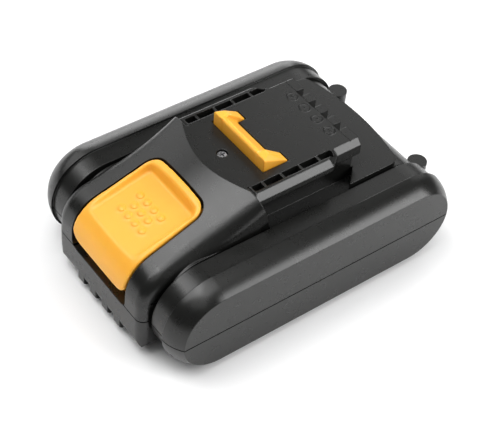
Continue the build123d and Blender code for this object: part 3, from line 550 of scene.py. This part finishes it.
def softened(mesh, strength, passes):
    """Moves each point up to half-way to its neighbours' middle, by its strength from 0 to 1."""
    count = len(mesh.vertices)
    points = np.empty(count * 3)
    mesh.vertices.foreach_get("co", points)
    points = points.reshape(-1, 3)
    edges = np.empty(len(mesh.edges) * 2, np.int64)
    mesh.edges.foreach_get("vertices", edges)
    edges = edges.reshape(-1, 2)
    near = np.bincount(edges.ravel(), minlength=count).clip(1)[:, None]
    weight = 0.5 * strength(points)[:, None]
    for _ in range(passes):
        total = np.zeros_like(points)
        for axis in range(3):
            total[:, axis] = (np.bincount(edges[:, 0], points[edges[:, 1], axis], count)
                              + np.bincount(edges[:, 1], points[edges[:, 0], axis], count))
        points += weight * (total / near - points)
    mesh.vertices.foreach_set("co", points.astype(np.float32).ravel())
    mesh.update()


def built(name, sheet):
    """A working object from the BMesh, with its faces outwards."""
    bmesh.ops.recalc_face_normals(sheet, faces=sheet.faces)
    mesh = bpy.data.meshes.new(name)
    sheet.to_mesh(mesh)
    sheet.free()
    return link(name, mesh)


def turned(name, profile, segments=40):
    """A closed turned shape from a profile of (radius, height), with both ends on the axis."""
    sheet = bmesh.new()
    circle = [(cos(2 * pi * k / segments), sin(2 * pi * k / segments)) for k in range(segments)]
    rings = []
    for radius, height in profile:
        ring = circle if radius else [(0, 0)]
        rings.append([sheet.verts.new((radius * x, radius * y, height)) for x, y in ring])
    for low, high in zip(rings, rings[1:]):
        for k in range(segments):
            after = (k + 1) % segments
            corners = (low[k % len(low)], low[after % len(low)],
                       high[after % len(high)], high[k % len(high)])
            sheet.faces.new(list(dict.fromkeys(corners)))
    return built(name, sheet)


def prism(name, outline, low, high, taper=1.0):
    """A prism with the outline (x, y) at the height low, scaled by taper at the height high."""
    sheet = bmesh.new()
    bottom = [sheet.verts.new((x, y, low)) for x, y in outline]
    top = [sheet.verts.new((x * taper, y * taper, high)) for x, y in outline]
    sheet.faces.new(bottom)
    sheet.faces.new(top)
    for k in range(len(outline)):
        after = (k + 1) % len(outline)
        sheet.faces.new((bottom[k], bottom[after], top[after], top[k]))
    return built(name, sheet)


def cut_out(piece, cutter):
    """piece with cutter taken out of it, as a new working object."""
    knife = piece.modifiers.new("recess", "BOOLEAN")
    knife.operation = "DIFFERENCE"
    knife.solver = "EXACT"
    knife.object = cutter
    name = piece.name + "_cut"
    mesh = evaluated(piece)
    bpy.data.objects.remove(cutter)
    return link(name, mesh)


def hexagon(radius):
    """The corners of a hexagon."""
    return [(radius * cos(pi * k / 3), radius * sin(pi * k / 3)) for k in range(6)]


def cross(arm, half):
    """The corners of a cross. An arm reaches arm from its middle, and half to each side."""
    return [(half, half), (half, arm), (-half, arm), (-half, half), (-arm, half), (-arm, -half),
            (-half, -half), (-half, -arm), (half, -arm), (half, -half), (arm, -half), (arm, half)]


def screw_profile(head_radius, head_height, shank_radius, length):
    """(radius, height) along a screw with its head down and its seat at 0: rounded rim, thread
    and tip."""
    rim = head_height * 0.28
    rim_steps = 4
    chamfer = 0.05 * MM
    profile = [(0, -head_height), (head_radius - rim, -head_height)]
    for step in range(1, rim_steps + 1):
        angle = pi / 2 * step / rim_steps
        profile.append((head_radius - rim + rim * sin(angle),
                        -head_height + rim - rim * cos(angle)))
    profile += [(head_radius, -chamfer), (head_radius - chamfer, 0), (shank_radius, 0)]
    root = shank_radius * 0.82
    turns = max(2, int(length / THREAD_PITCH))
    for turn in range(turns):
        low = length * (turn + 0.25) / (turns + 1)
        profile += [(root, low), (shank_radius, low + length * 0.4 / (turns + 1))]
    return profile + [(shank_radius * 0.5, length * 0.97), (0, length)]


def screw_pattern(head_radius, head_height, shank_radius, length, recess):
    """A screw with its head down, its seat at the origin and a hexagon or cross recess."""
    profile = screw_profile(head_radius, head_height, shank_radius, length)
    body = turned("screw_body", profile)
    if recess == "hexagon":
        cutter = prism("recess", hexagon(head_radius * 0.5),
                       -head_height - 1 * MM, -head_height * 0.41)
    else:
        cutter = prism("recess", cross(head_radius * 0.62, head_radius * 0.15),
                       -head_height - 0.2 * MM, -head_height * 0.35, taper=0.55)
    return cut_out(body, cutter)


# Geometry node trees
def new_tree(name, inputs):
    """A tree with named inputs, given as (name, socket type, default), and one geometry output.
    Returns it with the sockets that bring its inputs."""
    tree = bpy.data.node_groups.new(name, "GeometryNodeTree")
    tree.is_modifier = True
    tree.interface.new_socket("Geometry", in_out="OUTPUT", socket_type="NodeSocketGeometry")
    for label, kind, default in inputs:
        socket = tree.interface.new_socket(label, in_out="INPUT", socket_type=kind)
        if default is not None:
            socket.default_value = default
    return tree, tree.nodes.new("NodeGroupInput").outputs


def end_tree(tree, shape, material):
    """Ends a tree: instances become real faces, and get the material."""
    real = add(tree, "GeometryNodeRealizeInstances", Geometry=shape)
    coat = add(tree, "GeometryNodeSetMaterial", Geometry=real.outputs["Geometry"],
               Material=material)
    add(tree, "NodeGroupOutput", Geometry=coat.outputs["Geometry"])
    return tree


def grow(name, tree, values):
    """A working object with the tree as its modifier, and the named inputs set on it."""
    piece = link(name, bpy.data.meshes.new(name))
    modifier = piece.modifiers.new("tree", "NODES")
    modifier.node_group = tree
    for item in tree.interface.items_tree:
        if item.item_type == "SOCKET" and item.in_out == "INPUT" and item.name in values:
            modifier[item.identifier] = values[item.name]
    return piece


def dots_tree(sizes):
    """Rows of flattened domes: two long rows with a shorter one between them."""
    tree, given = new_tree("grip_dots", [
        ("Radius", "NodeSocketFloat", sizes.radius),
        ("Height", "NodeSocketFloat", sizes.height),
        ("Pitch across", "NodeSocketFloat", sizes.pitch_across),
        ("Pitch along", "NodeSocketFloat", sizes.pitch_along),
        ("Long row", "NodeSocketInt", sizes.long_row),
        ("First row", "NodeSocketVector", None),
        ("Slope", "NodeSocketFloat", sizes.slope),
        ("Material", "NodeSocketMaterial", None)])
    rows = tree.nodes.new("GeometryNodeJoinGeometry")
    step = vector(tree, X=given["Pitch across"])
    for row in range(3):
        count = given["Long row"]
        if row == 1:
            count = maths(tree, "SUBTRACT", count, 1.0)
        half = maths(tree, "MULTIPLY", maths(tree, "SUBTRACT", count, 1.0), -0.5)
        start_x = maths(tree, "MULTIPLY", half, given["Pitch across"])
        start_y = maths(tree, "MULTIPLY", given["Pitch along"], -float(row))
        drop = maths(tree, "MULTIPLY", start_y, maths(tree, "TANGENT", given["Slope"]))
        line = add(tree, "GeometryNodeMeshLine", mode="OFFSET", Count=count,
                   Start_Location=vector(tree, X=start_x, Y=start_y, Z=drop), Offset=step)
        tree.links.new(line.outputs["Mesh"], rows.inputs["Geometry"])
    ball = add(tree, "GeometryNodeMeshUVSphere", Segments=28, Rings=14, Radius=1.0)
    smooth = add(tree, "GeometryNodeSetShadeSmooth", Geometry=ball.outputs["Mesh"])
    spread = add(tree, "GeometryNodeInstanceOnPoints", Points=rows.outputs["Geometry"],
                 Instance=smooth.outputs["Geometry"], Rotation=vector(tree, X=given["Slope"]),
                 Scale=vector(tree, X=given["Radius"], Y=given["Radius"], Z=given["Height"]))
    move = add(tree, "GeometryNodeTransform", Geometry=spread.outputs["Instances"],
               Translation=given["First row"])
    return end_tree(tree, move.outputs["Geometry"], given["Material"])


def screws_tree():
    """One screw at each corner of a symmetric pattern: two at the front and two at the rear."""
    tree, given = new_tree("housing_screws", [
        ("Pattern", "NodeSocketObject", None),
        ("Front", "NodeSocketVector", None),
        ("Rear", "NodeSocketVector", None),
        ("Material", "NodeSocketMaterial", None)])
    corners = tree.nodes.new("GeometryNodeJoinGeometry")
    for end in ("Front", "Rear"):
        for side in (1.0, -1.0):
            point = add(tree, "GeometryNodePoints",
                        Position=vector_maths(tree, "MULTIPLY", given[end], (side, 1, 1)))
            tree.links.new(point.outputs[0], corners.inputs["Geometry"])
    pattern = add(tree, "GeometryNodeObjectInfo", Object=given["Pattern"])
    spread = add(tree, "GeometryNodeInstanceOnPoints", Points=corners.outputs["Geometry"],
                 Instance=pattern.outputs["Geometry"])
    return end_tree(tree, spread.outputs["Instances"], given["Material"])


def coil_tree(sizes):
    """A round wire wound into a coil."""
    tree, given = new_tree("return_spring", [
        ("Coil radius", "NodeSocketFloat", None),
        ("Wire radius", "NodeSocketFloat", sizes.wire_radius),
        ("Height", "NodeSocketFloat", None),
        ("Turns", "NodeSocketFloat", float(sizes.turns)),
        ("Foot", "NodeSocketVector", None),
        ("Material", "NodeSocketMaterial", None)])
    spiral = add(tree, "GeometryNodeCurveSpiral", Resolution=36, Start_Radius=given["Coil radius"],
                 End_Radius=given["Coil radius"], Height=given["Height"], Rotations=given["Turns"])
    wire = add(tree, "GeometryNodeCurvePrimitiveCircle", Resolution=16,
               Radius=given["Wire radius"])
    swept = add(tree, "GeometryNodeCurveToMesh", Curve=spiral.outputs["Curve"],
                Profile_Curve=wire.outputs["Curve"], Fill_Caps=True)
    move = add(tree, "GeometryNodeTransform", Geometry=swept.outputs["Mesh"],
               Translation=given["Foot"])
    return end_tree(tree, move.outputs["Geometry"], given["Material"])


# Stage
def lay_floor(stage):
    """A plain floor under the pack."""
    mesh = bpy.data.meshes.new("floor")
    near, far = -FLOOR_REACH, FLOOR_REACH
    mesh.from_pydata([(near, near, 0), (far, near, 0), (far, far, 0), (near, far, 0)],
                     [], [(0, 1, 2, 3)])
    floor = link("floor", mesh)
    material, tree, shader = new_material("floor_paper", Roughness=0.9, Specular_IOR_Level=0.1)
    fine = noise(tree, place(tree), scale=30)
    feed(tree, shader, Base_Color=tinted(tree, stage.floor_colour, 0.01, fine))
    mesh.materials.append(material)


def fill_sky(stage):
    """Even light from all round."""
    world = bpy.data.worlds.new("soft_studio")
    world.use_nodes = True
    feed(world.node_tree, world.node_tree.nodes["Background"], Color=(0.97, 0.98, 1.0, 1),
         Strength=stage.sky)
    bpy.context.scene.world = world


def soft_light(name, towards, power):
    """A square area light that faces the pack from the direction towards."""
    light = bpy.data.lights.new(name, "AREA")
    light.shape = "SQUARE"
    light.size = LIGHT_SIZE
    light.energy = power
    direction = Vector(towards).normalized()
    turn = direction.to_track_quat("Z", "Y").to_matrix().to_4x4()
    link(name, light).matrix_world = Matrix.Translation(direction * LIGHT_DISTANCE) @ turn


def aim_camera(stage):
    """The camera at the photograph's viewing angle."""
    flat = cos(CAMERA_TILT)
    back = Vector((sin(CAMERA_TURN) * flat, -cos(CAMERA_TURN) * flat, sin(CAMERA_TILT)))
    level = Vector((cos(CAMERA_TURN), sin(CAMERA_TURN), 0))
    upright = back.cross(level)
    right = level * cos(CAMERA_ROLL) + upright * sin(CAMERA_ROLL)
    up = upright * cos(CAMERA_ROLL) - level * sin(CAMERA_ROLL)
    eye = CAMERA_TARGET + right * CAMERA_RIGHT + up * CAMERA_UP + back * CAMERA_BACK
    lens = bpy.data.cameras.new("camera")
    lens.sensor_fit = "HORIZONTAL"
    lens.sensor_width = SENSOR_WIDTH
    lens.lens = stage.focal_length
    lens.clip_start = 0.01
    camera = link("camera", lens)
    camera.matrix_world = Matrix((
        (right.x, up.x, back.x, eye.x), (right.y, up.y, back.y, eye.y),
        (right.z, up.z, back.z, eye.z), (0, 0, 0, 1)))
    bpy.context.scene.camera = camera


# Operators
class BATTERY_OT_housing(bpy.types.Operator):
    """Give both halves of the housing their moulded plastic"""
    bl_idname = "battery.housing"
    bl_label = "Housing"

    def execute(self, context):
        dress(["lower_housing", "upper_housing"], housing_plastic())
        return {"FINISHED"}


class BATTERY_OT_latch(bpy.types.Operator):
    """Make the button and hook bar as one soft-edged moulding"""
    bl_idname = "battery.latch"
    bl_label = "Release Latch"

    def execute(self, context):
        finish = settings("latch_finish")
        work = link("latch_work", welded(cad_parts["release_latch"].data.copy()))
        remesh = work.modifiers.new("remesh", "REMESH")
        remesh.mode = "VOXEL"
        remesh.voxel_size = finish.voxel
        latch = finished("release_latch_moulding", work, "latch")
        if len(latch.data.vertices) < LEAST_LATCH_POINTS:
            raise RuntimeError("the latch could not be remeshed")
        softened(latch.data, button_share, finish.button_passes)
        softened(latch.data, lambda points: 1 - button_share(points), finish.hook_passes)
        latch.data.shade_smooth()
        latch.data.materials.clear()
        latch.data.materials.append(latch_plastic())
        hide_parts("release_latch")
        return {"FINISHED"}


class BATTERY_OT_grip_dots(bpy.types.Operator):
    """Set the grip dots on the thumb dish"""
    bl_idname = "battery.grip_dots"
    bl_label = "Grip Dots"

    def execute(self, context):
        sizes = settings("grip_dots")
        work = grow("dots_work", dots_tree(sizes), {
            "Radius": sizes.radius, "Height": sizes.height, "Pitch across": sizes.pitch_across,
            "Pitch along": sizes.pitch_along, "Long row": sizes.long_row,
            "First row": list(sizes.first_row), "Slope": sizes.slope,
            "Material": bpy.data.materials["latch_plastic_satin"]})
        dots = finished("grip_dots", work, "latch")
        return {"FINISHED"}


class BATTERY_OT_screws(bpy.types.Operator):
    """Make the four housing screws and the screw in the rail plate"""
    bl_idname = "battery.screws"
    bl_label = "Screws"

    def execute(self, context):
        sizes = settings("screw_sizes")
        pattern = screw_pattern(sizes.head_radius, sizes.head_height, sizes.shank_radius,
                                sizes.tip - sizes.seat, "hexagon")
        low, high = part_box("housing_screws")
        front_y, rear_y = low.y + sizes.head_radius, high.y - sizes.head_radius
        work = grow("screws_work", screws_tree(), {
            "Pattern": pattern, "Front": [FRONT_SCREW_X, front_y, sizes.seat],
            "Rear": [high.x - sizes.head_radius, rear_y, sizes.seat],
            "Material": metal("screw_zinc_plated", (0.42, 0.42, 0.43), roughness=0.34)})
        screws = finished("housing_screw_set", work, "pack")
        bpy.data.objects.remove(pattern)
        trimmed(screws.data, SCREW_EDGE_ANGLE)
        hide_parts("housing_screws")

        low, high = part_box("plateau_screw")
        middle, seat = (low + high) / 2, high.z - PLATE_SCREW_HEAD
        single = screw_pattern((high.x - low.x) / 2, PLATE_SCREW_HEAD, PLATE_SCREW_SHANK,
                               seat - low.z, "cross")
        single.data.transform(Matrix.Translation((middle.x, middle.y, seat))
                              @ Matrix.Rotation(pi, 4, "X"))
        single.data.materials.append(
            metal("screw_bright_cross", (0.56, 0.56, 0.57), roughness=0.30))
        plate_screw = finished("rail_plate_screw", single, "pack")
        trimmed(plate_screw.data, SCREW_EDGE_ANGLE)
        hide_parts("plateau_screw")
        return {"FINISHED"}


class BATTERY_OT_springs(bpy.types.Operator):
    """Wind the two return springs under the button"""
    bl_idname = "battery.springs"
    bl_label = "Springs"

    def execute(self, context):
        sizes = settings("spring_sizes")
        wire = metal("spring_drawn_wire", (0.52, 0.52, 0.53), roughness=0.30, scale=2400)
        tree = coil_tree(sizes)
        for side in ("left", "right"):
            node = f"release_spring_{side}"
            low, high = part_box(node)
            middle = (low + high) / 2
            work = grow("spring_work", tree, {
                "Coil radius": (high.x - low.x) / 2 - sizes.wire_radius,
                "Wire radius": sizes.wire_radius,
                "Height": high.z - low.z - 2 * sizes.wire_radius, "Turns": float(sizes.turns),
                "Foot": [middle.x, middle.y, low.z + sizes.wire_radius], "Material": wire})
            spring = finished(f"return_spring_{side}", work, "pack")
            trimmed(spring.data, WIRE_EDGE_ANGLE)
            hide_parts(node)
            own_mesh(spring)
        return {"FINISHED"}


class BATTERY_OT_cells(bpy.types.Operator):
    """Finish the cells, their sleeves, holders, strips and pads"""
    bl_idname = "battery.cells"
    bl_label = "Cells"

    def execute(self, context):
        dress(CELLS, metal("cell_plated_can", (0.62, 0.63, 0.64), roughness=0.28,
                           stretch=(1, 4, 4)))
        dress(SLEEVES, shrink_film())
        dress(["cell_holder_left", "cell_holder_right"],
              plain_plastic("holder_plastic", (0.022, 0.022, 0.024), roughness=0.5))
        dress(STRIPS, metal("strip_nickel", (0.66, 0.62, 0.55), roughness=0.32,
                            stretch=(1, 6, 1)))
        dress(["insulator_sheet_left", "insulator_sheet_right"], fibre_sheet())
        dress(["side_pad_left", "side_pad_right"], foam())
        return {"FINISHED"}


class BATTERY_OT_electronics(bpy.types.Operator):
    """Finish the board, its tray, the terminal block and all that sits on them"""
    bl_idname = "battery.electronics"
    bl_label = "Electronics"

    def execute(self, context):
        dress(["board_tray"],
              plain_plastic("tray_plastic", (0.022, 0.022, 0.024), roughness=0.5))
        dress(["circuit_board"], solder_mask())
        dress(["terminal_block"],
              plain_plastic("terminal_block_plastic", (0.018, 0.018, 0.019), roughness=0.42))
        dress(CONTACTS, metal("contact_plated_copper", (0.72, 0.50, 0.30), roughness=0.26,
                              stretch=(1, 1, 5)))
        dress(["power_transistors", "controller_chip", "thermistor"],
              plain_plastic("component_moulding", (0.012, 0.012, 0.012), roughness=0.48,
                            grain=0.12 * MM))
        dress(["current_shunt", "board_fuse"],
              metal("component_tinned", (0.60, 0.60, 0.58), roughness=0.38))
        dress(["capacitors"], ceramic())
        dress(["sense_connector"],
              plain_plastic("connector_plastic", (0.66, 0.64, 0.56), roughness=0.42))
        return {"FINISHED"}


class BATTERY_OT_stage(bpy.types.Operator):
    """Set up the pale floor, the soft lights and the camera"""
    bl_idname = "battery.stage"
    bl_label = "Stage"

    def execute(self, context):
        stage = settings("battery_stage")
        lay_floor(stage)
        fill_sky(stage)
        for name, towards, power in LIGHTS:
            soft_light(name, towards, getattr(stage, power))
        aim_camera(stage)
        context.scene.view_settings.view_transform = "Standard"
        context.scene.view_settings.look = "Medium High Contrast"
        context.scene.view_settings.exposure = EXPOSURE
        return {"FINISHED"}


class BATTERY_PT_panel(bpy.types.Panel):
    """Lists the steps and the settings of each"""
    bl_label = "Battery Pack"
    bl_idname = "BATTERY_PT_panel"
    bl_space_type = "VIEW_3D"
    bl_region_type = "UI"
    bl_category = "Battery Pack"

    def draw(self, context):
        for operator in OPERATORS:
            self.layout.operator(operator.bl_idname)
        for name, _ in GROUPS:
            group = getattr(context.scene, name)
            box = self.layout.box()
            for key in group.__annotations__:
                box.prop(group, key)


GROUPS = (
    ("housing_finish", HousingFinish), ("latch_finish", LatchFinish), ("grip_dots", GripDots),
    ("screw_sizes", ScrewSizes), ("spring_sizes", SpringSizes), ("battery_stage", StageSettings),
)
OPERATORS = (
    BATTERY_OT_housing, BATTERY_OT_latch, BATTERY_OT_grip_dots, BATTERY_OT_screws,
    BATTERY_OT_springs, BATTERY_OT_cells, BATTERY_OT_electronics, BATTERY_OT_stage,
)


def register():
    for name, group in GROUPS:
        bpy.utils.register_class(group)
        setattr(bpy.types.Scene, name, bpy.props.PointerProperty(type=group))
    for operator in OPERATORS:
        bpy.utils.register_class(operator)
    bpy.utils.register_class(BATTERY_PT_panel)


def unregister():
    bpy.utils.unregister_class(BATTERY_PT_panel)
    for operator in reversed(OPERATORS):
        bpy.utils.unregister_class(operator)
    for name, group in reversed(GROUPS):
        delattr(bpy.types.Scene, name)
        bpy.utils.unregister_class(group)


def main():
    register()
    for operator in OPERATORS:
        area, action = operator.bl_idname.split(".")
        getattr(getattr(bpy.ops, area), action)()


if __name__ == "__main__":
    main()
